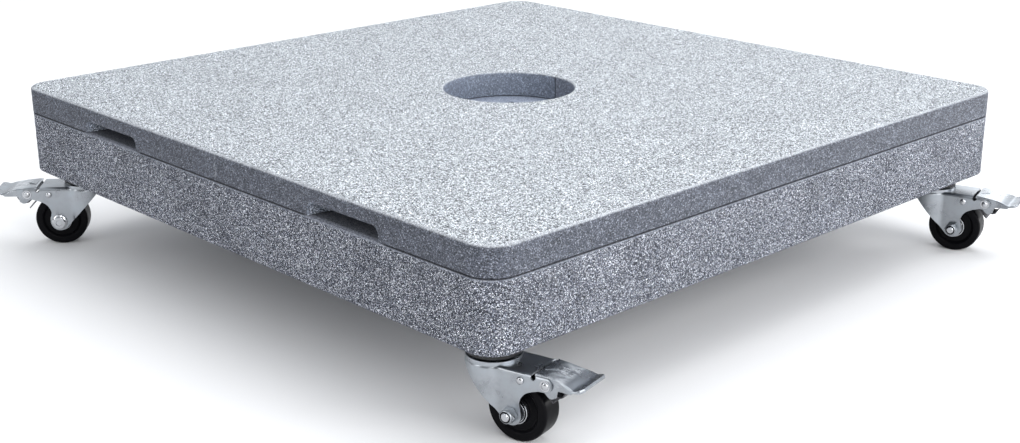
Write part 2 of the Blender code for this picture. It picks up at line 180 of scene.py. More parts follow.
def maths(tree, how, first, second):
    made = add(tree, "Math", operation=how)
    for index, value in enumerate((first, second)):
        if isinstance(value, bpy.types.NodeSocket):
            tree.links.new(value, made.inputs[index])
        else:
            made.inputs[index].default_value = value
    return made.outputs["Value"]


def times(tree, first, second):
    return maths(tree, "MULTIPLY", first, second)


def tinted(tree, color, by):
    """One colour multiplied by another."""
    return blend(tree, 1.0, color, by, "MULTIPLY")


def line(tree, value, gain, offset):
    """gain * value + offset."""
    return maths(tree, "ADD", times(tree, value, gain), offset)


def own_place(tree):
    """The point in the piece's own frame, which moves and turns with it."""
    return add(tree, "TexCoord").outputs["Object"]


def facing_of(tree):
    """The way that the surface faces, as separate coordinates."""
    return add(tree, "SeparateXYZ", {"Vector": add(tree, "NewGeometry").outputs["Normal"]})


def grains(tree, place, size_mm):
    """One random value for each stone grain of about this size, with ragged outlines."""
    drift = add(tree, "TexNoise", {"Vector": place, "Scale": 1.6 / (size_mm * MM), "Detail": 2.0})
    spread = add(tree, "VectorMath", {0: drift.outputs["Color"], 1: (size_mm * MM * 0.9,) * 3},
                 operation="MULTIPLY").outputs["Vector"]
    moved = add(tree, "VectorMath", {0: place, 1: spread}, operation="ADD").outputs["Vector"]
    cells = add(tree, "TexVoronoi", {"Vector": moved, "Scale": 1 / (size_mm * MM), "Randomness": 1.0})
    return add(tree, "SeparateColor", {"Color": cells.outputs["Color"]}).outputs[0]


def cloud(tree, place, size_mm, detail, roughness=0.5):
    """Soft noise from 0 to 1 with patches of about this size."""
    made = add(tree, "TexNoise", {"Vector": place, "Scale": 1 / (size_mm * MM), "Detail": detail,
                                  "Roughness": roughness})
    return made.outputs["Fac"]


def from_mast_axis(tree, spot):
    """How far a point, given as separate coordinates, is from the mast's axis."""
    level = add(tree, "CombineXYZ", {"X": spot.outputs["X"], "Y": spot.outputs["Y"]})
    return add(tree, "VectorMath", {0: level.outputs["Vector"]}, operation="LENGTH").outputs["Value"]


def size_of(tree, value):
    """A value without its sign."""
    return maths(tree, "ABSOLUTE", value, 0)


def between(tree, value, low, high, soft):
    """1 between low and high and 0 outside them, all in millimetres. Each change is 2 * soft
    wide."""
    return times(tree, step(tree, value, (low - soft) * MM, (low + soft) * MM),
                 step(tree, value, (high + soft) * MM, (high - soft) * MM))


def along_grips(tree, spot, margin):
    """1 at the finger grips' places along the front and back, and margin millimetres beyond."""
    return between(tree, size_of(tree, spot.outputs["X"]), GRIP_X - GRIP_WIDTH / 2 - margin,
                   GRIP_X + GRIP_WIDTH / 2 + margin, 2)


def near_outline(tree, spot):
    """1 within a few millimetres of the square's rounded outline, seen from above."""
    beyond = [maths(tree, "MAXIMUM", maths(tree, "SUBTRACT", size_of(tree, spot.outputs[axis]),
                                           (HALF - CORNER_R) * MM), 0) for axis in "XY"]
    level = add(tree, "CombineXYZ", {"X": beyond[0], "Y": beyond[1]}).outputs["Vector"]
    out = add(tree, "VectorMath", {0: level}, operation="LENGTH").outputs["Value"]
    return step(tree, out, (CORNER_R - 8) * MM, (CORNER_R - 3) * MM)


def bump(tree, height, strength, distance_mm):
    inputs = {"Height": height, "Strength": strength, "Distance": distance_mm * MM}
    return add(tree, "Bump", inputs).outputs["Normal"]


# ---------------------------------------------------------------- stone materials

def cover_stone():
    """Grey granite: flamed and light on top, sawn and darker on the walls."""
    made, tree, shader = new_material("cover_granite")
    place = own_place(tree)
    coarse, fine = grains(tree, place, 0.9), grains(tree, place, 0.5)

    speckle = ramp(tree, coarse, [(0.0, (0.006, 0.007, 0.008)), (0.19, (0.030, 0.033, 0.038)),
                                  (0.34, (0.19, 0.205, 0.225)), (0.55, (0.46, 0.485, 0.51)),
                                  (1.0, (0.86, 0.88, 0.90))])
    salt = ramp(tree, fine, [(0.0, grey(0.03)), (0.30, grey(0.40)), (0.6, grey(0.97)), (1.0, grey(1.85))])
    patch = ramp(tree, cloud(tree, place, 60, 3), [(0.3, (0.965, 0.988, 1.013)),
                                                   (0.7, (1.053, 1.078, 1.105))])
    flamed = tinted(tree, tinted(tree, speckle, salt), patch)

    mottle = ramp(tree, coarse, [(0.0, (0.024, 0.027, 0.034)), (0.5, (0.089, 0.098, 0.122)),
                                 (0.85, (0.155, 0.167, 0.200)), (1.0, (0.370, 0.385, 0.420))])
    crystals = ramp(tree, fine, [(0.0, grey(0.22)), (0.5, grey(0.92)), (1.0, grey(2.0))])
    saw = ramp(tree, cloud(tree, place, 14, 4, 0.6), [(0.3, grey(0.82)), (0.7, grey(1.12))])
    sawn = tinted(tree, tinted(tree, tinted(tree, mottle, crystals), saw), (0.70, 0.715, 0.755))

    # the wall of the mast hole is painted lighter and more even, as painted light reaching into the hole,
    # with a dark line at the joint
    spot = add(tree, "SeparateXYZ", {"Vector": place})
    from_mast = from_mast_axis(tree, spot)
    outside = step(tree, from_mast, (HOLE_R + 4) * MM, (HOLE_R + 12) * MM)
    right_plate = step(tree, spot.outputs["X"], 0, 1.0 * MM)
    hole_light_and_joint = blend(tree, right_plate, (2.25, 2.38, 2.45), (2.3, 2.35, 2.35))
    at_seam = step(tree, size_of(tree, spot.outputs["X"]), 0.5 * MM, 1.1 * MM)
    hole_light_and_joint = blend(tree, at_seam, grey(0.7), hole_light_and_joint)
    even = blend(tree, 0.5, sawn, (0.073, 0.078, 0.092))
    sawn = blend(tree, outside, tinted(tree, even, hole_light_and_joint), sawn)
    # bruised stone along the joint of the two plates shows light on their outer walls
    wander = line(tree, cloud(tree, place, 7, 3), 7.0 * MM, -3.5 * MM)
    off_joint = size_of(tree, maths(tree, "ADD", spot.outputs["X"], wander))
    bruise = maths(tree, "SUBTRACT", 1.0, step(tree, off_joint, 0.4 * MM, 1.6 * MM))
    bruise = times(tree, bruise, step(tree, cloud(tree, place, 5, 3), 0.40, 0.56))
    facing = facing_of(tree)
    end_wall = step(tree, size_of(tree, facing.outputs["X"]), 0.35, 0.7)
    bruise = times(tree, bruise, maths(tree, "SUBTRACT", outside, end_wall))
    sawn = blend(tree, maths(tree, "MAXIMUM", bruise, 0), sawn, (0.27, 0.285, 0.315))
    # the ends of the finger grips are broken out, and their end walls are painted lighter, as painted light
    # falling on them
    grip_end_light = tinted(tree, sawn, (3.4, 3.4, 3.2))
    sawn = blend(tree, times(tree, end_wall, along_grips(tree, spot, 6)), sawn, grip_end_light)
    # the flamed finish fades out over the rounded edge, which is rubbed more even
    ragged = line(tree, cloud(tree, place, 3, 2), 0.10, -0.05)
    on_top = step(tree, maths(tree, "ADD", facing.outputs["Z"], ragged), 0.08, 0.72)
    rubbed = step(tree, facing.outputs["Z"], 0.995, 0.93)
    flamed = blend(tree, times(tree, rubbed, 0.6), flamed, (0.38, 0.40, 0.43))
    tree.links.new(blend(tree, on_top, sawn, flamed), shader.inputs["Base Color"])
    dull = add(tree, "MapRange", {"Value": on_top, "To Min": 0.62, "To Max": 0.82})
    tree.links.new(dull.outputs["Result"], shader.inputs["Roughness"])
    shader.inputs["Specular IOR Level"].default_value = 0.35

    relief = maths(tree, "ADD", times(tree, coarse, 0.5), cloud(tree, place, 1.1, 4, 0.7))
    depth = times(tree, relief, line(tree, on_top, 0.8, 0.2))
    tree.links.new(bump(tree, depth, 0.5, 0.28), shader.inputs["Normal"])
    return made


def slab_stone():
    """The same granite: pitted by the bush hammer on the walls, and sawn on top and along the
    walls' upper edge."""
    made, tree, shader = new_material("slab_granite")
    place = own_place(tree)
    coarse, fine = grains(tree, place, 0.7), grains(tree, place, 0.42)
    speckle = ramp(tree, coarse, [(0.0, (0.006, 0.007, 0.010)), (0.24, (0.033, 0.036, 0.047)),
                                  (0.50, (0.105, 0.112, 0.140)), (0.72, (0.205, 0.215, 0.250)),
                                  (0.84, (0.50, 0.51, 0.54)), (1.0, (1.0, 1.0, 1.0))])
    salt = ramp(tree, fine, [(0.0, grey(0.08)), (0.35, grey(0.60)), (0.75, grey(1.10)), (1.0, grey(2.6))])
    patch = ramp(tree, cloud(tree, place, 35, 3), [(0.3, (0.685, 0.71, 0.755)), (0.7, (0.92, 0.95, 1.00))])
    pitted = tinted(tree, tinted(tree, speckle, salt), patch)

    sawn = ramp(tree, coarse, [(0.0, (0.06, 0.068, 0.09)), (0.5, (0.17, 0.185, 0.225)),
                               (1.0, (0.34, 0.355, 0.395))])
    spot = add(tree, "SeparateXYZ", {"Vector": place})
    from_mast = from_mast_axis(tree, spot)
    ragged = line(tree, cloud(tree, place, 5, 3), 2.0 * MM, -1.0 * MM)
    even = step(tree, maths(tree, "ADD", spot.outputs["Z"], ragged), -2.6 * MM, -1.7 * MM)
    # painted shadow darkens the joint, and a little less the stone that the plates cover, which shows as
    # painted shade in the finger grips
    under = step(tree, from_mast, (HOLE_R - 1) * MM, (HOLE_R + 3) * MM)
    covered = times(tree, step(tree, spot.outputs["Z"], -1.3 * MM, -0.7 * MM), under)
    rim = near_outline(tree, spot)
    open_rim = times(tree, rim, along_grips(tree, spot, 0))
    covered = times(tree, covered, maths(tree, "SUBTRACT", 1.0, open_rim))
    # painted light on the floor of the mast hole
    hole_floor_light = tinted(tree, sawn, (1.22, 1.30, 1.40))
    painted_shade = tinted(tree, sawn, blend(tree, rim, grey(0.42), grey(0.30)))
    sawn = blend(tree, covered, blend(tree, under, hole_floor_light, sawn), painted_shade)
    tree.links.new(blend(tree, even, pitted, sawn), shader.inputs["Base Color"])
    shader.inputs["Roughness"].default_value = 0.85
    shader.inputs["Specular IOR Level"].default_value = 0.3

    relief = maths(tree, "ADD", times(tree, coarse, 0.7), cloud(tree, place, 1.0, 4, 0.75))
    depth = times(tree, relief, maths(tree, "SUBTRACT", 1.15, even))
    tree.links.new(bump(tree, depth, 0.7, 0.36), shader.inputs["Normal"])
    return made


# ---------------------------------------------------------------- metal and wheel materials

ZINC = (0.345, 0.365, 0.39)


def plated_steel(name, color, roughness):
    """Zinc-plated or bright steel: soft cloudy gloss, fine grain and a few scuffs."""
    made, tree, shader = new_material(name)
    place = own_place(tree)
    bloom = cloud(tree, place, 18, 3, 0.55)
    tint = ramp(tree, bloom, [(0.3, [c * 0.80 for c in color]), (0.5, color),
                              (0.72, (color[0] * 1.05, color[1] * 1.08, color[2] * 1.10))])
    scuffed = step(tree, cloud(tree, place, 1.6, 5, 0.75), 0.60, 0.80)
    tree.links.new(blend(tree, times(tree, scuffed, 0.12), tint, [c * 0.75 for c in color]),
                   shader.inputs["Base Color"])
    gloss = line(tree, bloom, 0.16, roughness - 0.08)
    gloss = maths(tree, "ADD", gloss, times(tree, scuffed, 0.06))
    tree.links.new(gloss, shader.inputs["Roughness"])
    shader.inputs["Metallic"].default_value = 1.0
    grain = cloud(tree, place, 0.35, 3, 0.6)
    tree.links.new(bump(tree, grain, 0.10, 0.05), shader.inputs["Normal"])
    return made


def pedal_steel():
    """The same zinc, lightened and dulled in short streaks on the pedal's top: a painted highlight."""
    made = plated_steel("pedal_zinc", ZINC, 0.27)
    tree = made.node_tree
    shader = tree.nodes["Principled BSDF"]
    place = own_place(tree)
    spot = add(tree, "SeparateXYZ", {"Vector": place})
    facing = facing_of(tree)
    # painted highlight: lighter, duller streaks across this span of the pedal's top
    pressed = times(tree, step(tree, spot.outputs["X"], -6 * MM, 6 * MM),
                    step(tree, spot.outputs["X"], 21 * MM, 13 * MM))
    drawn = add(tree, "VectorMath", {0: place, 1: (0.35, 1.0, 1.0)}, operation="MULTIPLY")
    streaks = step(tree, cloud(tree, drawn.outputs["Vector"], 3.0, 4, 0.65), 0.30, 0.62)
    painted_sheen = times(tree, times(tree, pressed, streaks), step(tree, facing.outputs["Z"], 0.5, 0.9))
    plated = shader.inputs["Base Color"].links[0].from_socket
    tree.links.new(blend(tree, painted_sheen, plated, (0.62, 0.65, 0.68)), shader.inputs["Base Color"])
    tree.links.new(line(tree, painted_sheen, -0.42, 1.0), shader.inputs["Metallic"])
    return made


def spring_steel():
    """Dark spring steel of the brake leaf."""
    made, tree, shader = new_material("spring_steel")
    place = own_place(tree)
    tree.links.new(ramp(tree, cloud(tree, place, 6, 4, 0.6), [(0.3, (0.045, 0.045, 0.05)),
                                                              (0.7, (0.11, 0.11, 0.12))]),
                   shader.inputs["Base Color"])
    shader.inputs["Metallic"].default_value = 1.0
    shader.inputs["Roughness"].default_value = 0.38
    tree.links.new(bump(tree, cloud(tree, place, 0.4, 3), 0.1, 0.05), shader.inputs["Normal"])
    return made


def black_cap():
    """Near-black steel of the swivel's upper race."""
    made, tree, shader = new_material("black_cap")
    place = own_place(tree)
    tree.links.new(ramp(tree, cloud(tree, place, 4, 4, 0.6), [(0.3, (0.010, 0.010, 0.011)),
                                                              (0.75, (0.028, 0.028, 0.029))]),
                   shader.inputs["Base Color"])
    shader.inputs["Roughness"].default_value = 0.42
    shader.inputs["Specular IOR Level"].default_value = 0.3
    tree.links.new(bump(tree, cloud(tree, place, 0.5, 3), 0.1, 0.05), shader.inputs["Normal"])
    return made


def black_wheel():
    """Black moulded wheel: satin, with a fine moulded grain and a little dust."""
    made, tree, shader = new_material("black_wheel")
    place = own_place(tree)
    dust = step(tree, cloud(tree, place, 9, 5, 0.7), 0.52, 0.75)
    tree.links.new(blend(tree, times(tree, dust, 0.5), (0.003, 0.003, 0.004),
                         (0.008, 0.0075, 0.0075)), shader.inputs["Base Color"])
    gloss = add(tree, "MapRange", {"Value": cloud(tree, place, 5, 4, 0.6), "From Min": 0.3,
                                   "From Max": 0.7, "To Min": 0.26, "To Max": 0.40})
    tree.links.new(gloss.outputs["Result"], shader.inputs["Roughness"])
    shader.inputs["Specular IOR Level"].default_value = 0.06
    tree.links.new(bump(tree, cloud(tree, place, 0.5, 3, 0.6), 0.12, 0.08), shader.inputs["Normal"])
    return made


SURFACES = {                         # the record's slot: material
    "cover_stone": cover_stone(),
    "slab_stone": slab_stone(),
    "zinc_plate": plated_steel("zinc_plate", ZINC, 0.29),
    "bright_steel": plated_steel("bright_steel", (0.50, 0.51, 0.53), 0.18),
    "spring_steel": spring_steel(),
    "black_wheel": black_wheel(),
    "black_cap": black_cap(),
}


# ---------------------------------------------------------------- mesh tools

def arc(centre, radius, start, end, steps):
    """Points of an arc, from start to end in degrees."""
    turns = [math.radians(start + (end - start) * i / steps) for i in range(steps + 1)]
    return [(centre[0] + radius * math.cos(t), centre[1] + radius * math.sin(t)) for t in turns]


def finish_mesh(shape, name):
    """Close up a bmesh, turn its faces out, and make it a mesh."""
    bmesh.ops.remove_doubles(shape, verts=shape.verts, dist=0.0005 * MM)
    bmesh.ops.recalc_face_normals(shape, faces=shape.faces)
    mesh = bpy.data.meshes.new(name)
    shape.to_mesh(mesh)
    shape.free()
    return mesh


def prism(name, outline, low, high, upright=False):
    """An outline of (x, y) points raised from z = low to high, or, when it is upright, of (x, z)
    points stretched from y = low to high."""
    shape = bmesh.new()
    corners = [(a, low, b) if upright else (a, b, low) for a, b in outline]
    face = shape.faces.new([shape.verts.new(Vector(corner) * MM) for corner in corners])
    raised = bmesh.ops.extrude_face_region(shape, geom=[face])["geom"]
    way = Vector((0, high - low, 0)) if upright else Vector((0, 0, high - low))
    bmesh.ops.translate(shape, vec=way * MM,
                        verts=[part for part in raised if isinstance(part, bmesh.types.BMVert)])
    return finish_mesh(shape, name)


def turned(name, profile, steps=72, along_y=False):
    """A profile of (radius, height) points turned about Z, or about Y with its height along +Y."""
    shape = bmesh.new()
    verts = [shape.verts.new((r * MM, 0, h * MM)) for r, h in profile]
    edges = [shape.edges.new(pair) for pair in zip(verts, verts[1:])]
    bmesh.ops.spin(shape, geom=verts + edges, cent=(0, 0, 0), axis=(0, 0, 1),
                   angle=2 * math.pi, steps=steps)
    if along_y:
        bmesh.ops.rotate(shape, verts=shape.verts, matrix=Matrix.Rotation(-math.pi / 2, 3, "X"))
    return finish_mesh(shape, name)


def rounded_profile(points, radius, steps=3):
    """A profile with each inner corner rounded off, so that it catches the light."""
    made = [points[0]]
    for before, corner, after in zip(points, points[1:], points[2:]):
        before, corner, after = Vector(before), Vector(corner), Vector(after)
        reach = min(radius, (before - corner).length * 0.48, (after - corner).length * 0.48)
        start = corner + (before - corner).normalized() * reach
        end = corner + (after - corner).normalized() * reach
        for i in range(steps + 1):
            t = i / steps
            made.append(tuple(start * (1 - t) ** 2 + corner * (2 * t * (1 - t)) + end * t ** 2))
    return made + [points[-1]]


def rod(radius, low, high, steps=48, centre=(0, 0), along_y=True):
    """A plain round bar along Y through (x, z) = centre, or along Z through (x, y)."""
    mesh = turned("rod", [(0, high), (radius, high), (radius, low), (0, low)], steps, along_y=along_y)
    a, b = centre[0] * MM, centre[1] * MM
    mesh.transform(Matrix.Translation((a, 0, b) if along_y else (a, b, 0)))
    return mesh


def combine(name, start, steps):
    """Cut, join or intersect a mesh with others, in order."""
    body = bpy.data.objects.new(name, start)
    bpy.context.scene.collection.objects.link(body)
    tools = []
    for operation, mesh in steps:
        tool = bpy.data.objects.new("tool", mesh)
        bpy.context.scene.collection.objects.link(tool)
        tools.append(tool)
        boolean = body.modifiers.new("boolean", "BOOLEAN")
        boolean.operation, boolean.solver, boolean.object = operation, "EXACT", tool
    evaluated = body.evaluated_get(bpy.context.evaluated_depsgraph_get())
    result = bpy.data.meshes.new_from_object(evaluated)
    for used in [body] + tools:
        bpy.data.objects.remove(used)
    return result


def cut(mesh):
    return ("DIFFERENCE", mesh)


def join(mesh):
    return ("UNION", mesh)


def keep(mesh):
    return ("INTERSECT", mesh)


def round_edges(mesh, chosen, radius, segments):
    """Round the edges that the function chosen picks."""
    shape = bmesh.new()
    shape.from_mesh(mesh)
    edges = [edge for edge in shape.edges if chosen(edge)]
    bmesh.ops.bevel(shape, geom=edges, offset=radius * MM, segments=segments, profile=0.5,
                    affect="EDGES")
    return finish_mesh(shape, mesh.name)


def level_edge(z):
    """A choice for round_edges: the edges at height z."""
    return lambda edge: all(abs(vert.co.z - z * MM) < 0.01 * MM for vert in edge.verts)


def smooth(mesh, angle=35):
    """Shade a mesh smooth, except across edges that turn more than the angle, in degrees."""
    mesh.shade_smooth()
    mesh.set_sharp_from_angle(angle=math.radians(angle))
    return mesh


def show(name, mesh, slot, body, nodes, place=None, edge=0.0):
    """Put a piece in the scene for the CAD nodes that it stands for. edge is the width, in
    millimetres, of the small rounding along its sharp edges."""
    if not mesh.materials:
        mesh.materials.append(SURFACES[slot])
    piece = bpy.data.objects.new(name, mesh)
    bpy.context.scene.collection.objects.link(piece)
    if place is not None:
        piece.matrix_world = place
    if edge:
        mesh.shade_smooth()
        bevel = piece.modifiers.new("edges", "BEVEL")
        bevel.width, bevel.segments = edge * MM, 2
        bevel.limit_method, bevel.angle_limit = "ANGLE", math.radians(30)
        weighted = piece.modifiers.new("flat faces", "WEIGHTED_NORMAL")
        weighted.keep_sharp = True
    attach(piece, body)
    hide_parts(*nodes)


# ---------------------------------------------------------------- stone

def rounded_outline(left, right, front, back, radii):
    """A rectangle with its corners rounded: radii are those at right-back, left-back,
    left-front and right-front, and 0 leaves a corner sharp."""
    corners = [(right, back, 0), (left, back, 90), (left, front, 180), (right, front, 270)]
    points = []
    for (x, y, start), radius in zip(corners, radii):
        if radius == 0:
            points.append((x, y))
            continue
        centre = (x - math.copysign(radius, x - (left + right) / 2),
                  y - math.copysign(radius, y - (front + back) / 2))
        points += arc(centre, radius, start, start + 90, 12)
    return points


def spaced(low, high, size):
    """Places between low and high, about size apart."""
    count = max(1, round((high - low) / size))
    return [low + (high - low) * i / count for i in range(1, count)]


def slice_up(shape, faces, places_along):
    """Divide faces by planes square to X, Y and Z, at a list of places along each of them."""
    part = list({vert for face in faces for vert in face.verts})
    part += list({edge for face in faces for edge in face.edges}) + faces
    for axis, places in enumerate(places_along):
        across = Vector([1.0 if i == axis else 0.0 for i in range(3)])
        for place in places:
            part = bmesh.ops.bisect_plane(shape, geom=part, plane_co=across * place * MM,
                                          plane_no=across, dist=0.01 * MM)["geom"]


def rough(point, size_mm, seed):
    """Smooth noise from -1 to 1 at a point in metres."""
    return noise.noise(point / (size_mm * MM) + Vector((seed, seed * 1.7, -seed)))


def weather(shape, depth_at):
    """Press each vertex in along its normal by depth_at(point, normal, is_on_an_edge), in mm."""
    moves = []
    for vert in shape.verts:
        sharp = any(edge.calc_face_angle(0) > math.radians(38) for edge in vert.link_edges)
        moves.append((vert, vert.normal * depth_at(vert.co, vert.normal, sharp) * MM))
    for vert, move in moves:
        vert.co -= move


def chip(point, size_mm, seed):
    """0 nearly everywhere, up to 1 in a few scattered chips."""
    return max(0.0, rough(point, size_mm, seed) - 0.32) / 0.68


def make_slab():
    """The heavy lower slab, with the blind bolt holes of the mast's foot and the stems' bores."""
    top, bottom = SLAB_HIGH.z, SLAB_LOW.z
    mesh = prism("lower_slab", rounded_outline(-HALF, HALF, -HALF, HALF, [CORNER_R] * 4), bottom, top)
    mesh = round_edges(mesh, level_edge(bottom), 2.5, 3)
    mesh = round_edges(mesh, level_edge(top), 1.5, 2)
    bolt_r, bolt_depth, bolt_xy = 5.5, 32, 29.7
    holes = [rod(bolt_r, -bolt_depth, 5, 32, (x * bolt_xy, y * bolt_xy), along_y=False)
             for x in (-1, 1) for y in (-1, 1)]
    for corner in CORNERS:
        stem = Vector(JOINTS["swivel_" + corner]["pos_m"]) / MM
        holes.append(rod(STEM_BORE_R, bottom - 5, bottom + STEM_TOP + 0.6, 32, stem.xy, along_y=False))
    mesh = combine("lower_slab", mesh, [cut(hole) for hole in holes])

    shape = bmesh.new()
    shape.from_mesh(mesh)
    walls = [face for face in shape.faces if abs(face.normal.z) < 0.95
             and max(abs(v) for v in face.calc_center_median().xy) > 0.94 * HALF * MM]
    grid = spaced(-HALF + 1, HALF - 1, 2.6)
    slice_up(shape, walls, (grid, grid, spaced(bottom + 3, top - 2, 2.6)))

    def pitting(point, normal, sharp):
        outside = max(abs(point.x), abs(point.y)) > (HALF - 4) * MM or \
            math.hypot(*(max(0, abs(v) - (HALF - CORNER_R) * MM) for v in point.xy)) > 24 * MM
        if not outside or abs(normal.z) > 0.98:
            return 0.0
        below_sawn = min(1.0, max(0.0, (top * MM - point.z) / (4 * MM)))
        pits = 0.35 + 0.30 * rough(point, 7, 3.1) + 0.28 * rough(point, 3.6, 8.4)
        at_bottom = (1 - abs(normal.z)) * (point.z < (bottom + 4) * MM)
        return below_sawn * pits + 1.3 * chip(point, 9, 5.2) * at_bottom
    weather(shape, pitting)
    mesh = finish_mesh(shape, "lower_slab")
    show("lower_slab_stone", smooth(mesh, 45), "slab_stone", "base", ["lower_slab"])


def grip_cutter(side, front):
    """The hollow of one finger grip: round upper corners, and narrower towards its back."""
    low_x, high_x, r = -GRIP_WIDTH / 2, GRIP_WIDTH / 2, 8.0
    outline = [(low_x, -5), (high_x, -5)]
    outline += arc((high_x - r, GRIP_TOP - r), r, 0, 90, 8)
    outline += arc((low_x + r, GRIP_TOP - r), r, 90, 180, 8)
    grip = prism("grip", outline, 0, GRIP_DEPTH * 2, upright=True)
    for vert in grip.vertices:
        if vert.co.y > GRIP_DEPTH * MM:
            vert.co.x *= 0.8
    turn, y = (0, -HALF - GRIP_DEPTH) if front else (math.pi, HALF + GRIP_DEPTH)
    grip.transform(Matrix.Translation((side * GRIP_X * MM, y * MM, 0)) @ Matrix.Rotation(turn, 4, "Z"))
    return grip


def make_cover(name, side, body):
    """One cover plate: side is -1 for the left one and 1 for the right one."""
    low, high = COVER_LOW.z, COVER_HIGH.z
    near, far = SEAM / 2, HALF
    left, right = (near, far) if side > 0 else (-far, -near)
    radii = [CORNER_R, 0, 0, CORNER_R] if side > 0 else [0, CORNER_R, CORNER_R, 0]
    mesh = prism(name, rounded_outline(left, right, -HALF, HALF, radii), low, high)

    def upper_but_seam(edge):
        return level_edge(high)(edge) and not all(abs(vert.co.x) < MM for vert in edge.verts)
    mesh = round_edges(mesh, upper_but_seam, 3.0, 4)
    flare = HOLE_R + 2.0
    hole = turned("mast_hole", [(0, 40), (flare + 1, 40), (flare + 1, high + 1), (flare, high)]
                  + arc((HOLE_R + 2.4, high - 2.4), 2.4, 100, 180, 4) + [(HOLE_R, -5), (0, -5)], 144)
    mesh = combine(name, mesh, [cut(hole), cut(grip_cutter(side, True)), cut(grip_cutter(side, False))])

    shape = bmesh.new()
    shape.from_mesh(mesh)
    but_underside = [face for face in shape.faces if face.normal.z > -0.95]
    grip_ends = [side * GRIP_X + end * GRIP_WIDTH / 2 for end in (-1, 1)]
    xs = spaced(left, right, 5) + [x + 1.5 * i for x in grip_ends for i in range(-3, 4)]
    ys = spaced(-HALF, HALF, 5) + [way * (HALF - 2.5 * i) for way in (-1, 1) for i in range(1, 5)]
    slice_up(shape, but_underside, (xs, ys, spaced(low, high - 3, 3)))

    def wear(point, normal, sharp):
        if point.z < (low + 0.1) * MM and not sharp:
            return 0.0
        if normal.z > 0.7:
            ease = min(1.0, abs(point.x) / (6 * MM))
            return ease * (0.14 * rough(point, 11, 2.2) + 0.10 * rough(point, 5.5, 7.7)) \
                + 0.9 * sharp * chip(point, 7, 1.1)
        in_grip = HALF * MM - abs(point.y) < (GRIP_DEPTH + 1) * MM and \
            abs(abs(point.x) - GRIP_X * MM) < (GRIP_WIDTH / 2 + 1) * MM and point.z < GRIP_TOP * MM
        if in_grip and abs(normal.x) > 0.3:
            return 0.7 * rough(point, 6, 4.4) + 0.5 * rough(point, 3, 9.9)
        return 0.05 * rough(point, 9, 6.1) + 1.1 * sharp * chip(point, 6, 3.3)
    weather(shape, wear)
    mesh = finish_mesh(shape, name)
    show(name + "_stone", smooth(mesh, 50), "cover_stone", body, [name])


make_slab()
make_cover("cover_plate_left", -1, "cover_left")
make_cover("cover_plate_right", 1, "cover_right")


# ---------------------------------------------------------------- caster pieces

def stem_mesh():
    """King stem: shank in the slab, flange against it, and riveted head under the crown."""
    head = CROWN_Z - SHEET - 0.3
    profile = [(0, STEM_TOP), (STEM_R, STEM_TOP), (STEM_R, -0.3), (13, -0.3), (13, -3.3), (STEM_R, -3.3),
               (STEM_R, head), (9.5, head), (7.5, head - 3.4), (0, head - 3.4)]
    return smooth(turned("stem", rounded_profile(profile, 0.6)))


def race_cap_mesh():
    """Upper race: a dished cap with its rim turned down over the balls."""
    inner = STEM_BORE_R
    profile = [(inner, -6.5), (inner, -3.8), (21, -3.8), (24.8, -7.5), (24.8, -14.2), (23.2, -14.2),
               (23.2, -9.7), (inner, -9.7), (inner, -6.5)]
    return smooth(turned("race_cap", rounded_profile(profile, 1.4)))


def ball_mesh():
    """The loose balls of the swivel bearing."""
    middle_r, ball_r, count = 17.0, 3.8, 13
    shape = bmesh.new()
    for i in range(count):
        turn = 2 * math.pi * i / count
        place = Vector((middle_r * math.cos(turn), middle_r * math.sin(turn), CROWN_Z + 0.3 + ball_r))
        bmesh.ops.create_uvsphere(shape, u_segments=24, v_segments=14, radius=ball_r * MM,
                                  matrix=Matrix.Translation(place * MM))
    mesh = bpy.data.meshes.new("balls")
    shape.to_mesh(mesh)
    shape.free()
    return smooth(mesh)


def side_holes():
    """Cuts across the fork for the axle bolt, the pedal's pin and the leaf's rivet."""
    return [cut(rod(BOLT_R + 0.45, -30, 30, 32, (AXLE_X, AXLE_Z))),
            cut(rod(PIN_HOLE_R, -30, 30, 28, (PIN_X, PIN_Z))),
            cut(rod(RIVET_HOLE_R, -30, 30, 28, (RIVET_X, RIVET_Z)))]


def fork_side():
    """The fork seen from the side: slanted front, axle lug, arch over the wheel, and arm."""
    slope, beyond = 1.08, -30
    lug_left = 180 + (90 - math.degrees(math.atan(slope)))
    outline = [(beyond, 0), (ARMS_X, 0), (ARMS_X, -21.5), (52.0, -23.3), (54.0, -23.3), (55.5, -21.5),
               (55.5, -19.6)]
    outline += arc((PIN_X, PIN_Z), 6.3, 100, -90, 18)
    outline += [(59.0, -32.0), (ARMS_X, -34.6)]
    outline += arc((55.0, -50.5), 16.2, 106, 172, 12)
    outline += arc((AXLE_X, AXLE_Z), 10.5, 12, lug_left - 360, 20)
    touch_x, touch_z = outline[-1]
    return outline + [(beyond, touch_z + (touch_x - beyond) * slope)]


def fork_plan(front_r, half, far_x, steps):
    """The fork seen from above: round front about the swivel axis, a soft fold, and straight
    cheeks. The fold takes ease degrees of the front and reach millimetres of each cheek."""
    ease, reach = 13, 7
    start = math.degrees(math.asin(half / front_r))
    fold_x = front_r * math.cos(math.radians(start))
    front = arc((0, 0), front_r, start + ease, 360 - start - ease, steps)
    first = rounded_profile([(fold_x + reach, half), (fold_x, half), front[0]], 10, 6)[1:-1]
    last = [(x, -y) for x, y in reversed(first)]
    return first + front + last + [(far_x, -half), (far_x, half)]


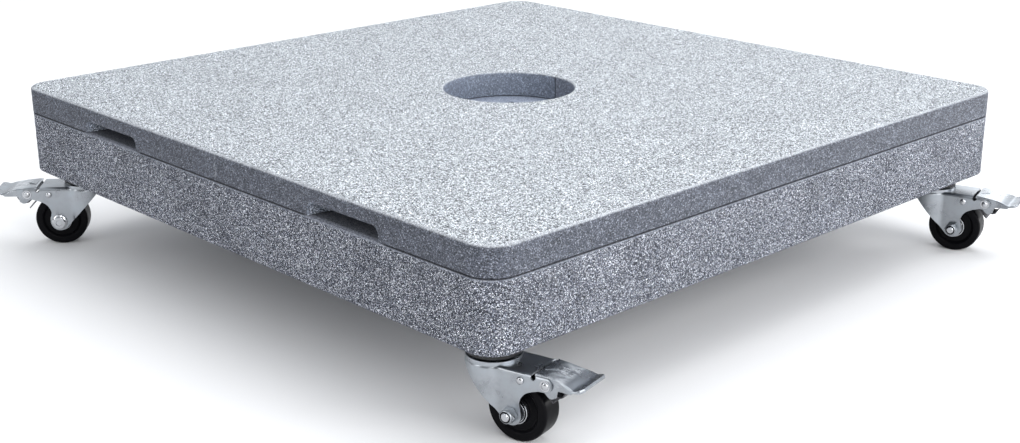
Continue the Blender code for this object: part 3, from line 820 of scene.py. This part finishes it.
def fork_mesh():
    """Pressed fork: crown with its raised race, two cheeks, and the arms that hold the pedal."""
    inner = FORK_HALF - SHEET
    outer = prism("fork", fork_plan(FORK_FRONT_R, FORK_HALF, 80, 40), -80, CROWN_Z)
    outer = round_edges(outer, level_edge(CROWN_Z), 3.8, 6)
    hollow = prism("hollow", fork_plan(FORK_FRONT_R - SHEET, inner, 90, 40), -90, CROWN_Z - SHEET)
    gap = prism("gap", [(ARMS_X, -inner), (90, -inner), (90, inner), (ARMS_X, inner)], -40, 0)
    low, high = CROWN_Z - SHEET + 0.1, CROWN_Z + 2.5
    race = turned("race", rounded_profile([(24, low), (24, high), (RACE_R, high), (RACE_R, low), (24, low)],
                                          0.5), 72)
    steps = [keep(prism("side", fork_side(), -30, 30, upright=True)), cut(hollow), cut(gap), join(race),
             cut(rod(STEM_BORE_R, -30, 0, 48, along_y=False))]
    return combine("fork", outer, steps + side_holes())


def wheel_mesh():
    """One moulded wheel: hub boss, recessed web and rounded tread."""
    one_side = [(HUB_R, 0), (HUB_R, 13.4), (9.4, 13.4), (9.9, 12.7), (12.2, 12.7), (12.8, 8.8), (20.0, 8.4),
                (21.6, 11.2), (22.6, 11.9), (28.7, 11.9), (30.0, 10.2), (WHEEL_R, 7.4), (WHEEL_R, 0)]
    half = rounded_profile(one_side, 0.9)
    profile = half + [(r, -w) for r, w in reversed(half)]
    return smooth(turned("wheel", profile, 112, along_y=True))


def hub_ring_mesh():
    """Steel rings pressed on the rims of the hub's two faces."""
    profile = [(10.9, 13.4), (10.9, 13.7), (11.6, 14.1), (12.3, 13.9), (12.5, 13.3), (12.5, 11.0),
               (12.2, 11.0), (12.2, 13.4), (10.9, 13.4)]
    shape = bmesh.new()
    shape.from_mesh(turned("hub_ring", profile, 96, along_y=True))
    other = bmesh.ops.duplicate(shape, geom=shape.verts[:] + shape.edges[:] + shape.faces[:])["geom"]
    bmesh.ops.rotate(shape, matrix=Matrix.Rotation(math.pi, 3, "X"),
                     verts=[part for part in other if isinstance(part, bmesh.types.BMVert)])
    return smooth(finish_mesh(shape, "hub_ring"))


def sleeve_mesh():
    """Steel sleeve between the cheeks, which the wheel turns on."""
    half, inner, outer = FORK_HALF - SHEET - 0.3, BOLT_R + 0.4, 5.5
    profile = [(inner, 0), (inner, half), (outer, half), (outer, -half), (inner, -half), (inner, 0)]
    return smooth(turned("sleeve", rounded_profile(profile, 0.3), 48, along_y=True))


def washer_mesh():
    """Thin washer between the hub and a cheek."""
    inner, outer, thick = HUB_R, 10.5, 1.2
    profile = [(inner, 0), (inner, thick / 2), (outer, thick / 2), (outer, -thick / 2),
               (inner, -thick / 2), (inner, 0)]
    return smooth(turned("washer", rounded_profile(profile, 0.3), 64, along_y=True))


def hexagon(inner_end, outer_end):
    """A hexagon along Y, 13 across its flats, with the corners of its outer end turned off."""
    corner_r, half_flats = 7.5, 6.5
    bar = rod(corner_r, min(inner_end, outer_end), max(inner_end, outer_end), 6)
    way = 1 if outer_end > inner_end else -1
    dome = [(0, inner_end - way), (9, inner_end - way), (9, outer_end - way * 1.3),
            (half_flats - 0.2, outer_end + way * 0.05), (0, outer_end + way * 0.05)]
    return combine("hexagon", bar, [keep(turned("dome", dome, 64, along_y=True))])


def axle_bolt_mesh():
    """Flange bolt: hexagon head with a shallow dimple, plain shank and a threaded end."""
    seat, pitch, end = FORK_HALF + 0.3, 1.25, -31.0
    profile = [(0, seat + 1), (BOLT_R, seat + 1), (BOLT_R, -FORK_HALF + 1.5)]
    for i in range(int((-FORK_HALF - end) / pitch)):
        z = -FORK_HALF - 0.2 - i * pitch
        profile += [(BOLT_R, z), (BOLT_R - 0.5, z - pitch / 2)]
    profile += [(BOLT_R - 0.1, end + 0.7), (BOLT_R - 0.8, end), (0, end)]
    shank = turned("axle_bolt", profile, 48, along_y=True)
    flange = turned("flange", [(0, seat + 2.2), (6.6, seat + 2.2), (8.5, seat + 1.2), (8.9, seat + 0.8),
                               (8.9, seat + 0.2), (8.7, seat), (0, seat)], 72, along_y=True)
    dimple = turned("dimple", [(0, seat + 7), (4.2, seat + 7), (3.2, seat + 5.0), (0, seat + 4.8)], 48,
                    along_y=True)
    return combine("axle_bolt", hexagon(seat + 0.5, seat + 5.8), [cut(dimple), join(flange), join(shank)])


def axle_nut_mesh():
    """Lock nut: hexagon with a round collar, which holds the insert."""
    seat = -FORK_HALF - 0.3
    collar = [(0, seat - 2), (6.4, seat - 2), (6.4, seat - 7.0)]
    collar += arc((5.0, seat - 7.2), 1.4, 0, -90, 4) + [(0, seat - 8.6)]
    bore = rod(BOLT_R + 0.4, -40, 0, 48)
    recess = rod(5.3, -40, seat - 6.4, 48)
    return combine("axle_nut", hexagon(seat, seat - 5.8),
                   [join(turned("collar", collar, 64, along_y=True)), cut(bore), cut(recess)])


def nut_insert_mesh():
    """Dark ring in the nut's collar that locks the thread."""
    seat = -FORK_HALF - 0.3
    profile = [(4.15, seat - 7), (4.15, seat - 7.9), (5.2, seat - 8.1), (5.2, seat - 6.5),
               (4.15, seat - 6.5), (4.15, seat - 7)]
    return smooth(turned("nut_insert", rounded_profile(profile, 0.2), 48, along_y=True))


def rivet_mesh(name, shank_r, head_r, collar_r=0.0):
    """A pin across the fork with a domed head outside each cheek, on a low collar if it has one."""
    seat = FORK_HALF + 0.1
    base = [(collar_r, seat + 0.6), (collar_r, seat)] if collar_r else [(head_r, seat)]
    dome = [(head_r * math.sin(math.radians(a)), seat + 0.5 + 1.9 * math.cos(math.radians(a)))
            for a in range(0, 91, 10)]
    one_end = dome + base + [(shank_r, seat)]
    return smooth(turned(name, one_end + [(r, -w) for r, w in reversed(one_end)], 48, along_y=True), 50)


def pedal_mesh():
    """Pedal of pressed sheet: a channel that is open below, with a turned-up lip and a raised
    arrow, about its pin at the origin."""
    def about_pin(points):
        return [(x - PIN_X, z - PIN_Z) for x, z in points]

    top = [(53.8, -16.9), (69.0, -18.1), (80.0, -19.8), (86.0, -21.3), (90.5, -22.8), (92.5, -23.2),
           (94.5, -22.8), (100.6, -20.8)]
    below = [(102.0, -22.0), (101.6, -23.6), (99.6, -24.4), (92.6, -25.5), (90.5, -27.2), (77.0, -28.4),
             (75.4, -30.0), (74.4, -35.4)]
    below += arc((69.7, -32.5), 4.7, -38, -128, 6)
    below += [(61.0, -31.0), (56.6, -29.0), (55.8, -22.4), (53.8, -19.0)]
    inside = [(40, top[0][1] - SHEET - 0.2), (top[0][0], top[0][1] - SHEET - 0.2)]
    inside += [(x, z - SHEET - 0.1) for x, z in top[1:6]] + [(92.6, -60), (40, -60)]

    def plan(inset):
        half, wide = 18.9 - inset, 21.6 - inset
        edge = [(76.5, half), (80.0, half + 0.3), (88.0, wide - 0.5), (91.0, wide), (97.0, wide),
                (99.0, wide - 0.8), (102.0, wide - 5.5)]
        points = [(40, half)] + edge + [(x, -y) for x, y in reversed(edge)] + [(40, -half)]
        return [(x - PIN_X, y) for x, y in points]

    outer = prism("brake_pedal", about_pin(top + below), -30, 30, upright=True)
    outer = combine("outer", outer, [keep(prism("plan", plan(0), -60, 60))])

    def top_edge(edge):
        slants = sorted(face.normal.z for face in edge.link_faces)
        return slants[-1] > 0.8 and abs(slants[0]) < 0.3 and abs(edge.verts[0].co.y) > 15 * MM
    outer = round_edges(outer, top_edge, 1.7, 4)
    hollow = combine("hollow", prism("hollow", about_pin(inside), -30, 30, upright=True),
                     [keep(prism("hollow_plan", plan(SHEET), -60, 60))])
    arrow = prism("arrow", [(56.5 - PIN_X, -7.5), (56.5 - PIN_X, 7.5), (66.0 - PIN_X, 0)],
                  -18.6 - PIN_Z, -16.75 - PIN_Z)
    mesh = combine("brake_pedal", outer, [cut(hollow), join(arrow), cut(rod(PIN_HOLE_R, -30, 30, 28))])
    mesh.materials.append(pedal_steel())
    return mesh


def leaf_mesh():
    """Brake leaf about its rivet at the origin: a strip folded round the rivet. Its lower leg
    ends over the tread, and its upper leg runs on under the pedal's cam and up behind it."""
    half, thick = 9.5, 1.2
    eye = arc((0, 0), 3.8, 270, 90, 16)
    lower = [(66.3, -45.8), (57.7, -36.8), (52.5, -31.6)]
    upper = [(51.0, -23.6), (62.6, -34.4), (66.6, -38.2), (68.6, -38.9), (73.0, -39.0), (75.4, -38.3),
             (79.4, -31.6)]
    path = [(x - RIVET_X, z - RIVET_Z) for x, z in lower] + eye
    path += [(x - RIVET_X, z - RIVET_Z) for x, z in upper]
    rows, normals = [Vector(point) for point in path], []
    for i, point in enumerate(rows):
        way = (rows[min(i + 1, len(rows) - 1)] - rows[max(i - 1, 0)]).normalized()
        normals.append(Vector((-way.y, way.x)) * thick / 2)
    outline = [point + out for point, out in zip(rows, normals)]
    outline += [point - out for point, out in reversed(list(zip(rows, normals)))]
    return prism("brake_leaf", [tuple(point) for point in outline], -half, half, upright=True)


AXLE, PIN, RIVET = (AXLE_X, 0, AXLE_Z), (PIN_X, 0, PIN_Z), (RIVET_X, 0, RIVET_Z)
# piece, mesh, slot, body (None where it stays with the slab), edge rounding in mm, and place in
# the caster's frame
CASTER_PIECES = [
    ("stem", stem_mesh(), "bright_steel", None, 0, (0, 0, 0)),
    ("race_cap", race_cap_mesh(), "black_cap", None, 0, (0, 0, 0)),
    ("ball_ring", ball_mesh(), "bright_steel", "fork_body", 0, (0, 0, 0)),
    ("fork", fork_mesh(), "zinc_plate", "fork_body", 0.35, (0, 0, 0)),
    ("wheel", wheel_mesh(), "black_wheel", "wheel_body", 0, AXLE),
    ("hub_ring", hub_ring_mesh(), "bright_steel", "wheel_body", 0, AXLE),
    ("sleeve", sleeve_mesh(), "bright_steel", "fork_body", 0, AXLE),
    ("axle_bolt", axle_bolt_mesh(), "bright_steel", "fork_body", 0.2, AXLE),
    ("axle_nut", axle_nut_mesh(), "zinc_plate", "fork_body", 0.2, AXLE),
    ("nut_insert", nut_insert_mesh(), "black_wheel", "fork_body", 0, AXLE),
    ("washer_inner", washer_mesh(), "bright_steel", "fork_body", 0, (AXLE_X, WASHER_Y, AXLE_Z)),
    ("washer_outer", washer_mesh(), "bright_steel", "fork_body", 0, (AXLE_X, -WASHER_Y, AXLE_Z)),
    ("brake_pedal", pedal_mesh(), "zinc_plate", "pedal_body", 0.4, PIN),
    ("pedal_pin", rivet_mesh("pedal_pin", 3.0, 3.6, 5.0), "bright_steel", "fork_body", 0, PIN),
    ("brake_leaf", leaf_mesh(), "spring_steel", "leaf_body", 0.2, RIVET),
    ("leaf_rivet", rivet_mesh("leaf_rivet", 2.5, 3.6), "bright_steel", "fork_body", 0, RIVET),
]

for corner in CORNERS:
    for piece, mesh, slot, body, edge, place in CASTER_PIECES:
        node = piece + "_" + corner
        show(node + "_look", mesh, slot, "base" if body is None else body + "_" + corner,
             [node] if node in frame["nodes"] else [],
             caster_frame(corner) @ Matrix.Translation(Vector(place) * MM), edge)


# ---------------------------------------------------------------- stage, light and camera

def area_light(name, place, size, power, target=(0, 0, -0.05)):
    """A rectangular lamp that faces its target. Places and sizes are in metres, power in watts."""
    light = bpy.data.lights.new(name, "AREA")
    light.shape, light.size, light.size_y = "RECTANGLE", size[0], size[1]
    light.energy = power
    lamp = bpy.data.objects.new(name, light)
    lamp.location = place
    lamp.rotation_euler = (Vector(place) - Vector(target)).to_track_quat("Z", "Y").to_euler()
    bpy.context.scene.collection.objects.link(lamp)


def make_floor():
    """A plain pale floor under the wheels."""
    made, _, shader = new_material("floor")
    shader.inputs["Base Color"].default_value = (0.80, 0.80, 0.805, 1)
    shader.inputs["Roughness"].default_value = 0.9
    shader.inputs["Specular IOR Level"].default_value = 0.1
    reach = 9.0
    mesh = bpy.data.meshes.new("floor")
    z = CAD_BOX[0].z
    mesh.from_pydata([(-reach, -reach, z), (reach, -reach, z), (reach, reach, z), (-reach, reach, z)],
                     [], [(0, 1, 2, 3)])
    mesh.materials.append(made)
    floor = bpy.data.objects.new("floor", mesh)
    bpy.context.scene.collection.objects.link(floor)


def make_light():
    """A pale sky that is brighter behind the object, and soft lamps round it."""
    world = bpy.data.worlds.new("studio")
    world.use_nodes = True
    tree = world.node_tree
    way = add(tree, "TexCoord").outputs["Generated"]
    lit = add(tree, "VectorMath", {0: way, 1: (-0.22, 0.62, 0.75)}, operation="DOT_PRODUCT")
    strength = add(tree, "MapRange", {"Value": lit.outputs["Value"], "From Min": -0.5, "From Max": 0.9,
                                      "To Min": 0.22, "To Max": 1.15})
    background = tree.nodes["Background"]
    background.inputs["Color"].default_value = (0.93, 0.96, 1.0, 1)
    tree.links.new(strength.outputs["Result"], background.inputs["Strength"])
    bpy.context.scene.world = world

    area_light("window", (2.7, 0.0, 0.95), (2.6, 1.7), 56, (0.3, 0, 0))
    area_light("overhead", (0.1, 0.5, 2.4), (2.6, 1.8), 34)
    area_light("back_panel", (-1.2, 2.25, 1.48), (2.2, 1.2), 22)
    # tall narrow lamps draw the highlights along bent and round metal
    area_light("front_strip", (-0.45, -2.4, 0.95), (0.5, 1.9), 11, (0.3, -0.4, -0.1))
    area_light("camera_side", (1.75, -1.85, 1.05), (0.35, 2.3), 15, (-0.3, -0.4, -0.1))
    area_light("back_strip", (1.35, 1.9, 0.1), (0.9, 0.7), 16, (0.4, -0.2, -0.1))


def make_camera():
    """A normal lens, 0.6 m above the floor, that looks down at the near corner."""
    data = bpy.data.cameras.new("camera")
    data.sensor_width, data.lens, data.shift_x = 36.0, 53.68, -0.0294
    camera = bpy.data.objects.new("camera", data)
    camera.location = (1.25047, -1.18324, 0.4417)
    yaw, pitch, roll = math.radians(45.3756), math.radians(18.5252), math.radians(0.1223)
    camera.rotation_euler = (Matrix.Rotation(yaw, 3, "Z") @ Matrix.Rotation(math.pi / 2 - pitch, 3, "X")
                             @ Matrix.Rotation(roll, 3, "Z")).to_euler()
    bpy.context.scene.collection.objects.link(camera)
    bpy.context.scene.camera = camera


make_floor()
make_light()
make_camera()
bpy.context.scene.view_settings.view_transform = "Standard"
